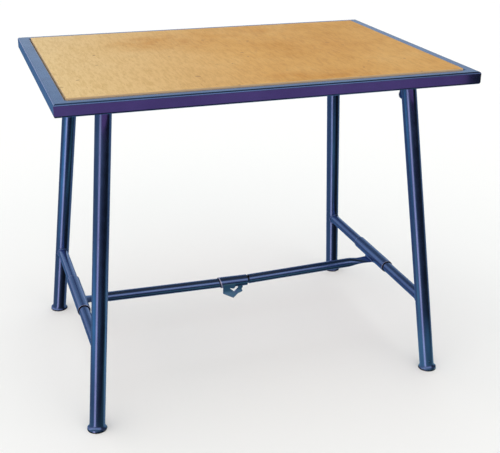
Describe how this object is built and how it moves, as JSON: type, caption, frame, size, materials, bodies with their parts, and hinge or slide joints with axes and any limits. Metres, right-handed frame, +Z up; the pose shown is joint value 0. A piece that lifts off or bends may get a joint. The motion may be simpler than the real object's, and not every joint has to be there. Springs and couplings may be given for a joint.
{
  "type": "folding workbench",
  "caption": "Folding workbench: wood board in a blue square-tube frame on splayed round-tube legs that fold under the top once the sliding sleeve on the stay between them is released.",
  "frame": {"origin": "on the floor under the middle of the top", "axes": "+X along the top's long side towards the right in the picture, +Y from the front to the back, +Z up"},
  "size_m": [1, 0.7, 0.821],
  "materials": {
    "paint": "semi-gloss blue paint",
    "board": "lacquered pressed wood board",
    "zinc": "zinc plated steel"
  },
  "bodies": {
    "top": {"worktop_board": "board", "board_ledges": "paint", "board_screws": "zinc", "frame_rail_front": "paint", "frame_rail_back": "paint", "frame_rail_left": "paint", "frame_rail_right": "paint", "hinge_bar_left": "paint", "hinge_bar_right": "paint", "hinge_hanger_left_front": "paint", "hinge_hanger_left_back": "paint", "hinge_hanger_right_front": "paint", "hinge_hanger_right_back": "paint", "hanger_bolts": "zinc"},
    "left_legs": {"leg_left_front": "paint", "leg_left_back": "paint", "cross_tube_left": "paint", "pivot_pins_left": "zinc", "pivot_washers_left": "zinc", "retaining_rings_left": "zinc"},
    "right_legs": {"leg_right_front": "paint", "leg_right_back": "paint", "cross_tube_right": "paint", "pivot_pins_right": "zinc", "pivot_washers_right": "zinc", "retaining_rings_right": "zinc"},
    "left_stay": {"stay_sleeve_left": "paint", "stay_tube_left": "paint", "stay_tongue_left": "zinc"},
    "right_stay": {"stay_sleeve_right": "paint", "stay_tube_right": "paint", "stay_tongue_right": "zinc"},
    "lock": {"lock_sleeve": "paint", "pull_plate": "paint", "pull_arm": "paint"}
  },
  "joints": [
    {"name": "left_fold", "type": "hinge", "parent": "top", "child": "left_legs", "pos_m": [-0.38, 0, 0.735], "axis": [0, -1, 0], "range_deg": [0, 95]},
    {"name": "right_fold", "type": "hinge", "parent": "top", "child": "right_legs", "pos_m": [0.38, 0, 0.735], "axis": [0, 1, 0], "range_deg": [0, 84]},
    {"name": "left_stay_swing", "type": "hinge", "parent": "left_legs", "child": "left_stay", "pos_m": [-0.43105, 0, 0.199], "axis": [0, -1, 0], "range_deg": [-274.26, 0]},
    {"name": "right_stay_swing", "type": "hinge", "parent": "right_legs", "child": "right_stay", "pos_m": [0.43105, 0, 0.199], "axis": [0, 1, 0], "range_deg": [-267.62, 0]},
    {"name": "lock_slide", "type": "slide", "parent": "left_stay", "child": "lock", "axis": [-0.9998, 0, 0.022], "range_m": [0, 0.052]}
  ],
  "couplings": [
    {"joint": "left_stay_swing", "follows": "left_fold", "ratio": -2.887},
    {"joint": "right_stay_swing", "follows": "right_fold", "ratio": -3.186}
  ]
}
